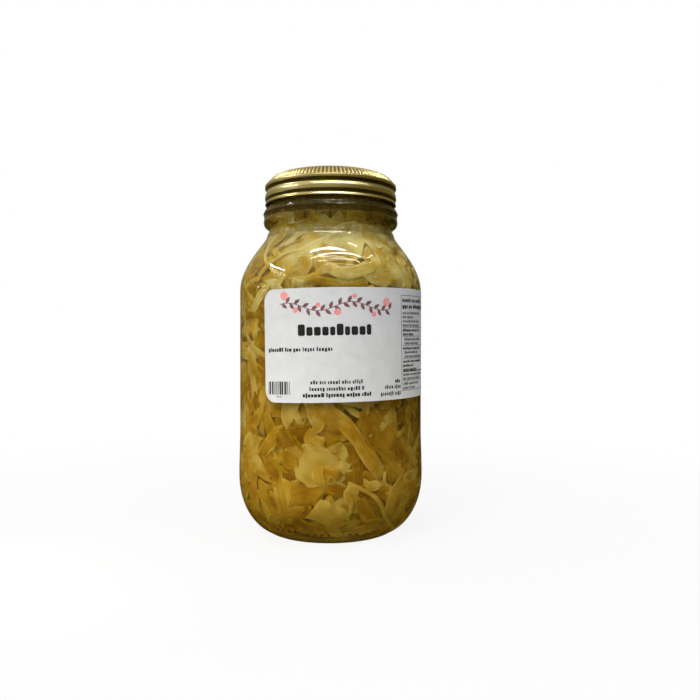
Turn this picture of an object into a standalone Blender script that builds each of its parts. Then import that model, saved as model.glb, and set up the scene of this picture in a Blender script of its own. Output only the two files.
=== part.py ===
"""A closed one-litre glass jar of sauerkraut: a turned glass jar, a screwed-on gold metal lid,
a paper label on its front and the packed sauerkraut inside.

Units are metres, +Z is up, and the origin is the centre of the base, on the plane it stands on.
The label faces -Y.
"""

import math
import random

import bmesh
import bpy
from mathutils import Vector, noise

SHARP_ANGLE = math.radians(40.0)

# Driving sizes of the glass, from the base up
SEGMENTS = 40
OUTER_CURVE_STEPS = 7
HOLLOW_CURVE_STEPS = 5
CONTACT_INNER_RADIUS = 0.0280
CONTACT_OUTER_RADIUS = 0.0325
FOOT_RADIUS = 0.0344
FOOT_HEIGHT = 0.0012
PUSH_UP_HEIGHT = 0.0025
HEEL_RADIUS = 0.0499
HEEL_TOP = 0.0310
HEEL_PULL_RADIUS = 0.0406
HEEL_PULL_HEIGHT = 0.0030
HEEL_SIDE_HEIGHT = 0.0132
HEEL_BUMPER_TOP = 0.0360
PANEL_RADIUS = 0.0494
PANEL_BOTTOM = 0.0560
PANEL_TOP = 0.1300
SHOULDER_SIDE_HEIGHT = 0.1412
SHOULDER_PULL_RADIUS = 0.0410
SHOULDER_PULL_HEIGHT = 0.1505
SHOULDER_END_RADIUS = 0.0337
SHOULDER_END_HEIGHT = 0.1599
NECK_RADIUS = 0.0333
NECK_HEIGHT = 0.1608
BEAD_RADIUS = 0.0367
BEAD_LOW_HEIGHT = 0.1672
BEAD_GROOVE_HEIGHT = 0.1695
BEAD_HIGH_HEIGHT = 0.1718
BEAD_GROOVE_DEPTH = 0.0004
BEAD_TOP_SLOPE = 0.0006
BEAD_TOP_HEIGHT = 0.1742
BEAD_REACH = BEAD_RADIUS - NECK_RADIUS
BEAD_RISE = BEAD_LOW_HEIGHT - NECK_HEIGHT
FINISH_RADIUS = 0.0340
FINISH_BOTTOM = 0.1760
RIM_HEIGHT = 0.1888
RIM_ROUNDING = 0.0010

# Driving sizes of the hollow in the glass
FLOOR_HEIGHT = 0.0050
FLOOR_RISE = 0.0015
FLOOR_RADIUS = 0.0290
FLOOR_PULL_RADIUS = 0.0390
FLOOR_PULL_HEIGHT = 0.0058
HOLLOW_RADIUS = 0.0465
HOLLOW_SIDE_HEIGHT = 0.0155
HOLLOW_HEEL_TOP = 0.0300
HOLLOW_PANEL_TOP = 0.1285
HOLLOW_SHOULDER_SIDE_HEIGHT = 0.1390
HOLLOW_SHOULDER_PULL_RADIUS = 0.0384
HOLLOW_SHOULDER_PULL_HEIGHT = 0.1480
HOLLOW_SHOULDER_END_RADIUS = 0.0313
HOLLOW_SHOULDER_END_HEIGHT = 0.1563
MOUTH_RADIUS = 0.0306
MOUTH_BOTTOM = 0.1585

# Driving sizes of the lid
FLUTES = 104
LID_SEGMENTS = 52
LID_RADIUS = 0.0358
LID_TOP = 0.1926
LID_BOTTOM = 0.1767
LID_WALL = 0.0005
LID_LINER = 0.0012
LID_PANEL_RADIUS = 0.0280
LID_PANEL_DEPTH = 0.0006
FLUTE_DEPTH = 0.00045

# Driving sizes of the label
LABEL_HEIGHT = 0.0560
LABEL_WIDTH = 0.1200
LABEL_CENTRE_HEIGHT = 0.1013
LABEL_LEFT_EDGE = math.radians(-40.1)
LABEL_TURN = math.radians(1.1)
LABEL_CORNER = 0.0062
LABEL_THICKNESS = 0.00012
LABEL_COLUMNS = 40
CORNER_STEPS = 5

# Driving sizes of the sauerkraut
GAP = 0.0003
KRAUT_BOTTOM = FLOOR_HEIGHT + FLOOR_RISE + 0.0010
KRAUT_TOP = 0.1850
CORE_DEPTH = 0.0028
CORE_RELIEF = 0.0006
CORE_SEGMENTS = 28
CORE_STEP = 0.0125
CORE_END_INSET = 0.0020
LUMP_SIZE = 0.0110
SHREDS = 62
SHRED_STATIONS = 6
SHRED_LENGTHS = (0.026, 0.058)
SHRED_WIDTHS = (0.0032, 0.0075)
SHRED_DEPTHS = (0.0002, 0.0009)
SHRED_THICKNESS = 0.0040
SHRED_TAPER = 0.55
SHRED_MARGIN = 0.0042
END_DIVE = 0.0010
NECK_FLATTENING = 0.2
GOLDEN_ANGLE = math.pi * (3.0 - math.sqrt(5.0))
SEED = 11


def clear_scene():
    for obj in list(bpy.data.objects):
        bpy.data.objects.remove(obj)


def make_material(name, colour, roughness, metallic=0.0, transmission=0.0):
    material = bpy.data.materials.new(name)
    material.use_nodes = True
    shader = material.node_tree.nodes["Principled BSDF"]
    shader.inputs["Base Color"].default_value = (*colour, 1.0)
    shader.inputs["Roughness"].default_value = roughness
    shader.inputs["Metallic"].default_value = metallic
    shader.inputs["Transmission Weight"].default_value = transmission
    material.diffuse_color = (*colour, 1.0)
    return material


def make_object(name, mesh, material):
    obj = bpy.data.objects.new(name, mesh)
    bpy.context.scene.collection.objects.link(obj)
    mesh.materials.append(material)
    mesh.shade_smooth()
    mesh.set_sharp_from_angle(angle=SHARP_ANGLE)
    return obj


def bezier(start, pull_start, pull_end, end, steps):
    """Points of a cubic Bezier curve, (radius, height), both ends included."""
    points = []
    for step in range(steps + 1):
        t = step / steps
        u = 1.0 - t
        weights = (u**3, 3.0 * u * u * t, 3.0 * u * t * t, t**3)
        corners = (start, pull_start, pull_end, end)
        points.append(tuple(sum(w * c[i] for w, c in zip(weights, corners)) for i in (0, 1)))
    return points


def outer_outline():
    """The outside of the glass, from the middle of the underside up to the rim."""
    outline = [(0.0, PUSH_UP_HEIGHT)]
    outline += [(0.6 * CONTACT_INNER_RADIUS, 0.75 * PUSH_UP_HEIGHT)]
    outline += [(CONTACT_INNER_RADIUS, 0.0), (CONTACT_OUTER_RADIUS, 0.0)]
    outline += bezier(
        (FOOT_RADIUS, FOOT_HEIGHT),
        (HEEL_PULL_RADIUS, HEEL_PULL_HEIGHT),
        (HEEL_RADIUS, HEEL_SIDE_HEIGHT),
        (HEEL_RADIUS, HEEL_TOP),
        OUTER_CURVE_STEPS,
    )
    outline += [(HEEL_RADIUS, HEEL_BUMPER_TOP), (PANEL_RADIUS, PANEL_BOTTOM)]
    outline += bezier(
        (PANEL_RADIUS, PANEL_TOP),
        (PANEL_RADIUS, SHOULDER_SIDE_HEIGHT),
        (SHOULDER_PULL_RADIUS, SHOULDER_PULL_HEIGHT),
        (SHOULDER_END_RADIUS, SHOULDER_END_HEIGHT),
        OUTER_CURVE_STEPS,
    )
    outline += [(NECK_RADIUS + 0.1 * BEAD_REACH, NECK_HEIGHT + 0.25 * BEAD_RISE)]
    outline += [(NECK_RADIUS + 0.75 * BEAD_REACH, NECK_HEIGHT + 0.65 * BEAD_RISE)]
    outline += [(BEAD_RADIUS, BEAD_LOW_HEIGHT)]
    outline += [(BEAD_RADIUS - BEAD_GROOVE_DEPTH, BEAD_GROOVE_HEIGHT)]
    outline += [(BEAD_RADIUS, BEAD_HIGH_HEIGHT)]
    outline += [(BEAD_RADIUS - BEAD_TOP_SLOPE, BEAD_TOP_HEIGHT), (FINISH_RADIUS, FINISH_BOTTOM)]
    outline += [(FINISH_RADIUS, RIM_HEIGHT - RIM_ROUNDING)]
    outline += [(FINISH_RADIUS - RIM_ROUNDING, RIM_HEIGHT)]
    return outline


def hollow_outline():
    """The inside of the glass, from the middle of the floor up to the rim."""
    outline = [(0.0, FLOOR_HEIGHT + FLOOR_RISE)]
    outline += [(0.6 * FLOOR_RADIUS, FLOOR_HEIGHT + 0.7 * FLOOR_RISE)]
    outline += bezier(
        (FLOOR_RADIUS, FLOOR_HEIGHT),
        (FLOOR_PULL_RADIUS, FLOOR_PULL_HEIGHT),
        (HOLLOW_RADIUS, HOLLOW_SIDE_HEIGHT),
        (HOLLOW_RADIUS, HOLLOW_HEEL_TOP),
        HOLLOW_CURVE_STEPS,
    )
    outline += bezier(
        (HOLLOW_RADIUS, HOLLOW_PANEL_TOP),
        (HOLLOW_RADIUS, HOLLOW_SHOULDER_SIDE_HEIGHT),
        (HOLLOW_SHOULDER_PULL_RADIUS, HOLLOW_SHOULDER_PULL_HEIGHT),
        (HOLLOW_SHOULDER_END_RADIUS, HOLLOW_SHOULDER_END_HEIGHT),
        HOLLOW_CURVE_STEPS,
    )
    outline += [(MOUTH_RADIUS, MOUTH_BOTTOM), (MOUTH_RADIUS, RIM_HEIGHT - RIM_ROUNDING)]
    outline += [(MOUTH_RADIUS + RIM_ROUNDING, RIM_HEIGHT)]
    return outline


def hollow_radius(height):
    """Radius of the hollow at a height, read along its outline."""
    outline = hollow_outline()
    for (r_low, z_low), (r_high, z_high) in zip(outline[1:], outline[2:]):
        if z_low <= height <= z_high:
            share = (height - z_low) / max(z_high - z_low, 1e-9)
            return r_low + share * (r_high - r_low)
    return outline[1][0] if height < outline[1][1] else MOUTH_RADIUS


def turned_mesh(name, outline, segments):
    """A closed mesh turned about Z from an outline whose two ends lie on the axis."""
    bm = bmesh.new()
    verts = [bm.verts.new((radius, 0.0, height)) for radius, height in outline]
    edges = [bm.edges.new(pair) for pair in zip(verts, verts[1:])]
    bmesh.ops.spin(
        bm,
        geom=verts + edges,
        cent=(0.0, 0.0, 0.0),
        axis=(0.0, 0.0, 1.0),
        steps=segments,
        angle=2.0 * math.pi,
    )
    bmesh.ops.remove_doubles(bm, verts=bm.verts, dist=1e-6)
    bmesh.ops.recalc_face_normals(bm, faces=bm.faces)
    mesh = bpy.data.meshes.new(name)
    bm.to_mesh(mesh)
    bm.free()
    return mesh


def make_jar():
    outline = outer_outline() + hollow_outline()[::-1]
    material = make_material("clear glass", (0.86, 0.90, 0.84), 0.04, transmission=1.0)
    return make_object("glass_jar", turned_mesh("glass_jar", outline, SEGMENTS), material)


def ring(bm, radius, height, count, depth=0.0):
    """A ring of points about Z; every second one stands in by depth, which makes flutes."""
    points = []
    for step in range(count):
        angle = 2.0 * math.pi * step / count
        reach = radius - depth * (step % 2)
        points.append(bm.verts.new((reach * math.cos(angle), reach * math.sin(angle), height)))
    return points


def join_rings(bm, ring_a, ring_b):
    """Faces between two rings, where one may have several times as many points."""
    if len(ring_a) < len(ring_b):
        coarse, fine = ring_a, ring_b
    else:
        coarse, fine = ring_b, ring_a
    ratio = len(fine) // len(coarse)
    for j, corner in enumerate(coarse):
        after = coarse[(j + 1) % len(coarse)]
        stretch = [fine[(j * ratio + k) % len(fine)] for k in range(ratio + 1)]
        if ratio == 1:
            bm.faces.new((corner, after, stretch[1], stretch[0]))
            continue
        half = ratio // 2
        for k in range(ratio):
            apex = corner if k < half else after
            bm.faces.new((apex, stretch[k], stretch[k + 1]))
        bm.faces.new((corner, stretch[half], after))


def lid_rings():
    """The lid's rings from the middle of its top, down the outside and back up the inside:
    radius, height, and True where the ring is fluted. Below the fluted corner the skirt has a
    groove, a bead for the screw and a rolled edge."""
    inner_radius = LID_RADIUS - LID_LINER
    outside = [
        (LID_PANEL_RADIUS - 0.0008, LID_TOP - LID_PANEL_DEPTH, False),
        (LID_PANEL_RADIUS, LID_TOP, False),
        (LID_RADIUS - 0.0068, LID_TOP, False),
        (LID_RADIUS - 0.0050, LID_TOP - 0.0006, True),
        (LID_RADIUS - 0.0034, LID_TOP - 0.0016, True),
        (LID_RADIUS - 0.0013, LID_TOP - 0.0037, True),
        (LID_RADIUS - 0.0005, LID_TOP - 0.0049, True),
        (LID_RADIUS, LID_TOP - 0.0058, False),
        (LID_RADIUS + 0.0002, LID_TOP - 0.0071, False),
        (LID_RADIUS - 0.0008, LID_TOP - 0.0079, False),
        (LID_RADIUS - 0.0008, LID_TOP - 0.0089, False),
        (LID_RADIUS, LID_TOP - 0.0104, False),
        (LID_RADIUS, LID_TOP - 0.0120, False),
        (LID_RADIUS - 0.0006, LID_TOP - 0.0134, False),
        (LID_RADIUS - 0.0005, LID_TOP - 0.0145, False),
        (LID_RADIUS + 0.0002, LID_TOP - 0.0152, False),
        (LID_RADIUS, LID_BOTTOM, False),
    ]
    inside = [
        (inner_radius + 0.0003, LID_BOTTOM, False),
        (inner_radius, LID_TOP - 0.0145, False),
        (inner_radius, LID_TOP - 0.0078, False),
        (inner_radius - 0.0001, LID_TOP - 0.0052, False),
        (inner_radius - 0.0010, LID_TOP - 0.0038, False),
        (inner_radius - 0.0024, LID_TOP - 0.0027, False),
        (LID_PANEL_RADIUS - 0.0008, LID_TOP - LID_PANEL_DEPTH - LID_WALL, False),
    ]
    return outside, inside


def make_lid():
    bm = bmesh.new()
    outside, inside = lid_rings()
    rings = []
    for radius, height, fluted in outside + inside:
        count = 2 * FLUTES if fluted else LID_SEGMENTS
        rings.append(ring(bm, radius, height, count, FLUTE_DEPTH if fluted else 0.0))
    for ring_a, ring_b in zip(rings, rings[1:]):
        join_rings(bm, ring_a, ring_b)
    bm.faces.new(rings[0])
    bm.faces.new(rings[-1])
    bmesh.ops.triangulate(bm, faces=[face for face in bm.faces if len(face.verts) > 4])
    bmesh.ops.recalc_face_normals(bm, faces=bm.faces)
    mesh = bpy.data.meshes.new("lid")
    bm.to_mesh(mesh)
    bm.free()
    return make_object("lid", mesh, make_material("gold lacquered tinplate", (0.62, 0.53, 0.26), 0.32, 1.0))


def label_half_height(along):
    """Half the label's height at a distance along it, less near its round corners."""
    inset = min(along, LABEL_WIDTH - along)
    if inset >= LABEL_CORNER:
        return 0.5 * LABEL_HEIGHT
    drop = LABEL_CORNER - math.sqrt(max(LABEL_CORNER**2 - (LABEL_CORNER - inset) ** 2, 0.0))
    return 0.5 * LABEL_HEIGHT - drop


def label_columns():
    """Distances along the label, closer together in its round corners."""
    corner = [LABEL_CORNER * (1.0 - math.cos(0.5 * math.pi * k / CORNER_STEPS)) for k in range(CORNER_STEPS)]
    straight = LABEL_WIDTH - 2.0 * LABEL_CORNER
    middle = [LABEL_CORNER + straight * k / LABEL_COLUMNS for k in range(LABEL_COLUMNS + 1)]
    return corner + middle + [LABEL_WIDTH - along for along in reversed(corner)]


def label_point(along, up, radius):
    """A point on the label's cylinder; the label sits slightly turned, left side low."""
    across = along - 0.5 * LABEL_WIDTH
    turned_across = across * math.cos(LABEL_TURN) - up * math.sin(LABEL_TURN)
    turned_up = across * math.sin(LABEL_TURN) + up * math.cos(LABEL_TURN)
    angle = LABEL_LEFT_EDGE + (turned_across + 0.5 * LABEL_WIDTH) / PANEL_RADIUS
    height = LABEL_CENTRE_HEIGHT + turned_up
    return Vector((radius * math.sin(angle), -radius * math.cos(angle), height))


def make_label():
    """A thin curved sheet that lies on the glass, all but the gap between touching solids."""
    bm = bmesh.new()
    back_radius = PANEL_RADIUS + GAP
    layers = []
    for radius in (back_radius, back_radius + LABEL_THICKNESS):
        top = []
        bottom = []
        for along in label_columns():
            half = label_half_height(along)
            top.append(bm.verts.new(label_point(along, half, radius)))
            bottom.append(bm.verts.new(label_point(along, -half, radius)))
        layers.append((top, bottom))
    (back_top, back_bottom), (front_top, front_bottom) = layers
    columns = len(back_top)
    for k in range(columns - 1):
        bm.faces.new((front_bottom[k], front_bottom[k + 1], front_top[k + 1], front_top[k]))
        bm.faces.new((back_top[k], back_top[k + 1], back_bottom[k + 1], back_bottom[k]))
        bm.faces.new((front_top[k], front_top[k + 1], back_top[k + 1], back_top[k]))
        bm.faces.new((back_bottom[k], back_bottom[k + 1], front_bottom[k + 1], front_bottom[k]))
    for k in (0, columns - 1):
        bm.faces.new((back_top[k], back_bottom[k], front_bottom[k], front_top[k]))
    bmesh.ops.recalc_face_normals(bm, faces=bm.faces)
    mesh = bpy.data.meshes.new("paper_label")
    bm.to_mesh(mesh)
    bm.free()
    return make_object("paper_label", mesh, make_material("white label paper", (0.82, 0.82, 0.82), 0.6))


def wall_point(angle, height, depth):
    """A point inside the glass, a depth in from the hollow's wall."""
    radius = hollow_radius(height) - GAP - depth
    return Vector((radius * math.sin(angle), -radius * math.cos(angle), height))


def core_levels():
    """Heights of the core's rings: the corners of the hollow's outline, and steps between them."""
    corners = [height for radius, height in hollow_outline() if KRAUT_BOTTOM < height < KRAUT_TOP]
    stops = [KRAUT_BOTTOM] + corners + [KRAUT_TOP]
    levels = [KRAUT_BOTTOM]
    for low, high in zip(stops, stops[1:]):
        parts = math.ceil((high - low) / CORE_STEP)
        levels += [low + (high - low) * part / parts for part in range(1, parts)] + [high]
    return levels


def make_core():
    """The mass of sauerkraut behind the shreds that show, with a lumpy surface."""
    bm = bmesh.new()
    rings = []
    for height in core_levels():
        end_inset = CORE_END_INSET if height in (KRAUT_BOTTOM, KRAUT_TOP) else 0.0
        points = []
        for step in range(CORE_SEGMENTS):
            angle = 2.0 * math.pi * step / CORE_SEGMENTS
            place = wall_point(angle, height, 0.0)
            lump = CORE_RELIEF * noise.noise(place / LUMP_SIZE)
            points.append(bm.verts.new(wall_point(angle, height, CORE_DEPTH + end_inset - lump)))
        rings.append(points)
    for ring_a, ring_b in zip(rings, rings[1:]):
        join_rings(bm, ring_a, ring_b)
    bm.faces.new(rings[0])
    bm.faces.new(rings[-1])
    bmesh.ops.triangulate(bm, faces=[face for face in bm.faces if len(face.verts) > 4])
    bmesh.ops.recalc_face_normals(bm, faces=bm.faces)
    mesh = bpy.data.meshes.new("sauerkraut")
    bm.to_mesh(mesh)
    bm.free()
    return mesh


def shred_course(index, draw):
    """Stations of a strip's middle line: angle, height and heading, kept within the heap's height."""
    share = (index + 0.5) / SHREDS
    height = KRAUT_BOTTOM + SHRED_MARGIN + (KRAUT_TOP - KRAUT_BOTTOM - 2.0 * SHRED_MARGIN) * share
    angle = index * GOLDEN_ANGLE
    length = draw.uniform(*SHRED_LENGTHS)
    heading = draw.uniform(-0.5, 0.5) * math.pi
    bend = draw.uniform(-1.6, 1.6)
    lowest, highest = KRAUT_BOTTOM + SHRED_MARGIN, HOLLOW_SHOULDER_END_HEIGHT - SHRED_MARGIN
    if height > highest:
        lowest, highest = MOUTH_BOTTOM + SHRED_MARGIN, KRAUT_TOP - SHRED_MARGIN
        heading *= NECK_FLATTENING
        bend *= NECK_FLATTENING
    step_length = length / (SHRED_STATIONS - 1)
    heights = [height - 0.5 * length * math.sin(heading)]
    angles = [angle - 0.5 * length * math.cos(heading) / hollow_radius(height)]
    headings = []
    for station in range(SHRED_STATIONS):
        headings.append(heading + bend * (station / (SHRED_STATIONS - 1) - 0.5))
        angles.append(angles[-1] + step_length * math.cos(headings[-1]) / hollow_radius(height))
        heights.append(heights[-1] + step_length * math.sin(headings[-1]))
    lift = max(lowest - min(heights), 0.0)
    drop = max(max(heights) - highest, 0.0)
    heights = [here + lift - drop for here in heights]
    return list(zip(angles, heights, headings))


def shred_mesh(index, draw):
    """One strip of cabbage that lies along the wall and dives into the core at both ends."""
    course = shred_course(index, draw)
    width = draw.uniform(*SHRED_WIDTHS)
    outer_depth = draw.uniform(*SHRED_DEPTHS)
    bm = bmesh.new()
    sections = []
    for station, (angle, height, heading) in enumerate(course):
        end = abs(2.0 * station / (SHRED_STATIONS - 1) - 1.0) ** 3
        half = 0.5 * width * (1.0 - SHRED_TAPER * end)
        depth = outer_depth + (CORE_DEPTH + END_DIVE - outer_depth) * end
        corners = []
        for side, layer in ((-1, 0), (1, 0), (0, 1)):
            here_height = height + side * half * math.cos(heading)
            here_angle = angle - side * half * math.sin(heading) / hollow_radius(height)
            here_depth = depth + layer * SHRED_THICKNESS
            corners.append(bm.verts.new(wall_point(here_angle, here_height, here_depth)))
        sections.append(corners)
    for ring_a, ring_b in zip(sections, sections[1:]):
        join_rings(bm, ring_a, ring_b)
    bm.faces.new(sections[0])
    bm.faces.new(sections[-1])
    bmesh.ops.triangulate(bm, faces=bm.faces)
    bmesh.ops.recalc_face_normals(bm, faces=bm.faces)
    mesh = bpy.data.meshes.new(f"shred_{index}")
    bm.to_mesh(mesh)
    bm.free()
    return mesh


def keep_largest_body(mesh):
    """Drops loose scraps and the walls of sealed hollows, so that one body is left."""
    bm = bmesh.new()
    bm.from_mesh(mesh)
    bmesh.ops.triangulate(bm, faces=bm.faces)
    unseen = set(bm.verts)
    groups = []
    while unseen:
        group = []
        front = [unseen.pop()]
        while front:
            vert = front.pop()
            group.append(vert)
            for edge in vert.link_edges:
                other = edge.other_vert(vert)
                if other in unseen:
                    unseen.remove(other)
                    front.append(other)
        groups.append(group)
    groups.sort(key=len)
    loose = [vert for group in groups[:-1] for vert in group]
    bmesh.ops.delete(bm, geom=loose, context="VERTS")
    bm.to_mesh(mesh)
    bm.free()


def make_sauerkraut():
    """One closed heap: the core and the shreds that show, joined by one Boolean union."""
    material = make_material("sauerkraut", (0.52, 0.36, 0.08), 0.45)
    heap = make_object("sauerkraut", make_core(), material)
    draw = random.Random(SEED)
    shreds = bpy.data.collections.new("shreds")
    bpy.context.scene.collection.children.link(shreds)
    for index in range(SHREDS):
        shreds.objects.link(bpy.data.objects.new(f"shred_{index}", shred_mesh(index, draw)))
    union = heap.modifiers.new("union", "BOOLEAN")
    union.operation = "UNION"
    union.operand_type = "COLLECTION"
    union.collection = shreds
    union.solver = "EXACT"
    bpy.context.view_layer.update()
    fused = bpy.data.meshes.new_from_object(heap.evaluated_get(bpy.context.evaluated_depsgraph_get()))
    heap.modifiers.clear()
    keep_largest_body(fused)
    fused.shade_smooth()
    fused.set_sharp_from_angle(angle=SHARP_ANGLE)
    heap.data = fused
    for obj in list(shreds.objects):
        bpy.data.objects.remove(obj)
    bpy.data.collections.remove(shreds)
    return heap


clear_scene()
make_jar()
make_lid()
make_label()
make_sauerkraut()
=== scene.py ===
"""A shut glass jar of sauerkraut: clear glass, brine, packed cabbage, a gold screw lid and a paper label."""

import math
import random

import bmesh
import bpy
import numpy as np
from mathutils import Matrix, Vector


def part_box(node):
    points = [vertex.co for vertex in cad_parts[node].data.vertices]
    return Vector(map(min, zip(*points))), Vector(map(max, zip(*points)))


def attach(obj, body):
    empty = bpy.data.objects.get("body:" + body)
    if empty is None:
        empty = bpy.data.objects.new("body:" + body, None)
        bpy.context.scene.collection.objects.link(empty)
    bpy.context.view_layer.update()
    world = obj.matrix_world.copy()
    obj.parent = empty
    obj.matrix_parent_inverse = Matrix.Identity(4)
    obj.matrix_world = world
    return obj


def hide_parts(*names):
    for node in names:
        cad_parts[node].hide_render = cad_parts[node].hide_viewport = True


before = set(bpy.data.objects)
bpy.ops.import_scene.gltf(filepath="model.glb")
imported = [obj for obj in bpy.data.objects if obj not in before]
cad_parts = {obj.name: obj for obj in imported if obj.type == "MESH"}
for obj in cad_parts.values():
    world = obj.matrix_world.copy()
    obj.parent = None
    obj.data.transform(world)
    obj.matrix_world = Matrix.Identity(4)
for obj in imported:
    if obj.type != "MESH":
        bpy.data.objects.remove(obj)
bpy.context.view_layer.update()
body = "root"


# Glass jar.
# One piece of pressed and blown clear glass, about 3 mm thick: a stippled foot, a rounded heel, a straight
# label panel, a sloping shoulder, a short neck with a double bead, and a wide mouth hidden by the lid.
jar_low, jar_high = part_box("glass_jar")
jar_radius = 0.5 * (jar_high.x - jar_low.x)
jar_rim_height = jar_high.z
panel_radius = jar_radius - 0.0005
foot_inner_radius = 0.0280
foot_outer_radius = 0.0325
push_up_height = 0.0025
hollow_radius = 0.0465
glass_segments = 240


def curve_points(start, pull_start, pull_end, end, steps):
    """Points along a cubic curve in a turned outline, both ends included."""
    t = np.linspace(0.0, 1.0, steps + 1)[:, None]
    corners = [np.array(corner, float) for corner in (start, pull_start, pull_end, end)]
    weights = ((1 - t) ** 3, 3 * t * (1 - t) ** 2, 3 * t * t * (1 - t), t**3)
    return [tuple(point) for point in sum(w * corner for w, corner in zip(weights, corners))]


def smooth_outline(points, steps):
    """A rounded line through outline points, as a lathe tool would follow them."""
    spots = [np.array(p, float) for p in points]
    spots = [2 * spots[0] - spots[1]] + spots + [2 * spots[-1] - spots[-2]]
    line = []
    for a, b, c, d in zip(spots, spots[1:], spots[2:], spots[3:]):
        for step in range(steps):
            t = step / steps
            bow = 2 * b + (c - a) * t + (2 * a - 5 * b + 4 * c - d) * t * t + (3 * b - a - 3 * c + d) * t**3
            line.append(tuple(0.5 * bow))
    return line + [tuple(points[-1])]


def glass_outside():
    """The outside of the glass from the middle of the pushed-up underside to the rim."""
    foot = [(0.0, push_up_height), (0.010, push_up_height * 0.96), (0.020, push_up_height * 0.72)]
    foot += [(0.0262, 0.0006), (foot_inner_radius, 0.0), (0.0302, 0.0), (foot_outer_radius, 0.0)]
    foot += [(0.0337, 0.0005)]
    heel = curve_points((0.0344, 0.0012), (0.0406, 0.0030), (jar_radius, 0.0132), (jar_radius, 0.0310), 30)
    panel = [(jar_radius, 0.0322), (jar_radius, 0.0355), (panel_radius + 0.0002, 0.0460)]
    panel += [(panel_radius, 0.0560), (panel_radius, 0.0900), (panel_radius, 0.1285)]
    shoulder = [(panel_radius, 0.1300), (panel_radius, 0.1412), (0.0406, 0.1506), (0.0354, 0.1582)]
    waist = [(0.0351, 0.1588), (0.0350, 0.1594), (0.0349, 0.1599), (0.0346, 0.1604), (0.0344, 0.1610)]
    waist += [(0.0341, 0.1616), (0.0338, 0.1621), (0.0336, 0.1627), (0.0338, 0.1633), (0.0346, 0.1640)]
    beads = [(0.0361, 0.1654), (0.0367, 0.1674), (0.0364, 0.1694), (0.0367, 0.1714), (0.0369, 0.1719)]
    beads += [(0.0364, 0.1727), (0.0361, 0.1737), (0.0350, 0.1750), (0.0340, 0.1764)]
    mouth = [(0.0340, 0.1800), (0.0340, jar_rim_height - 0.0010)]
    neck = smooth_outline(waist + beads + mouth, 4)
    rim = [(0.0337, jar_rim_height - 0.0003), (0.0330, jar_rim_height)]
    return foot + heel + smooth_outline(panel, 3) + curve_points(*shoulder, 30) + neck + rim


def hollow_wall():
    """The inner wall of the glass, from the edge of its floor up to the mouth."""
    heel = [(0.0290, 0.0050), (0.0390, 0.0058), (hollow_radius, 0.0155), (hollow_radius, 0.0300)]
    straight = [(hollow_radius, 0.030 + 0.0985 * k / 12) for k in range(1, 12)]
    shoulder = [(hollow_radius, 0.1285), (hollow_radius, 0.1390), (0.0384, 0.1480), (0.0313, 0.1563)]
    mouth = [(0.0307, 0.1574), (0.0306, 0.1588), (0.0306, 0.1650), (0.0306, 0.1720), (0.0306, 0.1800)]
    return curve_points(*heel, 24) + straight + curve_points(*shoulder, 24) + mouth


def new_mesh(name, verts, faces, smooth=True):
    """A mesh from its points and faces."""
    mesh = bpy.data.meshes.new(name)
    mesh.from_pydata(np.asarray(verts, float).tolist(), [], faces)
    if smooth:
        mesh.shade_smooth()
    return mesh


def ring_faces(rings, count, downwards=False):
    """The faces between rings of points, each ring over the last one, or under it."""
    here = np.arange(count)
    after = (here + 1) % count
    corners = [here, after, after + count, here + count]
    if downwards:
        corners = [here, here + count, after + count, after]
    ring = np.stack(corners, axis=-1)
    return np.concatenate([ring + row * count for row in range(rings - 1)])


def closed_mesh(name, rings, start_height, end_height, downwards=False):
    """A mesh through rings of points, shut at both ends by a point on the jar's axis."""
    count = len(rings[0])
    verts = np.vstack([*rings, [0.0, 0.0, start_height], [0.0, 0.0, end_height]])
    faces = ring_faces(len(rings), count, downwards).tolist()
    here = np.arange(count)
    after = (here + 1) % count
    if downwards:
        here, after = after, here
    first, last = len(rings) * count, len(rings) * count + 1
    last_ring = (len(rings) - 1) * count
    faces += [(first, int(b), int(a)) for a, b in zip(here, after)]
    faces += [(last, last_ring + int(a), last_ring + int(b)) for a, b in zip(here, after)]
    return new_mesh(name, verts, faces)


def turned_mesh(name, outline, segments):
    """A closed mesh turned about the jar's axis; the outline starts and ends on that axis."""
    turn = 2.0 * math.pi * np.arange(segments) / segments
    rings = [
        np.stack([radius * np.sin(turn), -radius * np.cos(turn), np.full(segments, height)], axis=-1)
        for radius, height in outline[1:-1]
    ]
    return closed_mesh(name, rings, outline[0][1], outline[-1][1])


def new_object(name, data):
    """An object that stands in the scene."""
    obj = bpy.data.objects.new(name, data)
    bpy.context.scene.collection.objects.link(obj)
    return obj


def place(name, mesh, finish, slot, *nodes):
    """Puts a piece on the jar, gives it its finish and hides the imported solids that it stands for."""
    piece = new_object(name, mesh)
    mesh.materials.append(finish)
    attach(piece, body)
    if nodes:
        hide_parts(*nodes)


def feed(tree, socket, value):
    """Sets a socket to a number or a colour, or links another node's value to it."""
    if isinstance(value, bpy.types.NodeSocket):
        tree.links.new(value, socket)
    else:
        socket.default_value = value


def set_sockets(tree, node, **settings):
    """Feeds a node's sockets by name."""
    for name, value in settings.items():
        feed(tree, node.inputs[name.replace("_", " ")], value)


def start_finish(name, **settings):
    """A new material, its node tree and its main shader, whose sockets are set by name."""
    finish = bpy.data.materials.new(name)
    finish.use_nodes = True
    tree = finish.node_tree
    shader = tree.nodes["Principled BSDF"]
    set_sockets(tree, shader, **settings)
    return finish, tree, shader


def add_node(tree, kind, **settings):
    """A node with its sockets fed by name."""
    node = tree.nodes.new(kind)
    set_sockets(tree, node, **settings)
    return node


def spread(tree, value, low, high, new_low, new_high):
    """Maps a value from one range to another."""
    ends = {"From Min": low, "From Max": high, "To Min": new_low, "To Max": new_high}
    return add_node(tree, "ShaderNodeMapRange", Value=value, **ends).outputs["Result"]


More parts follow.
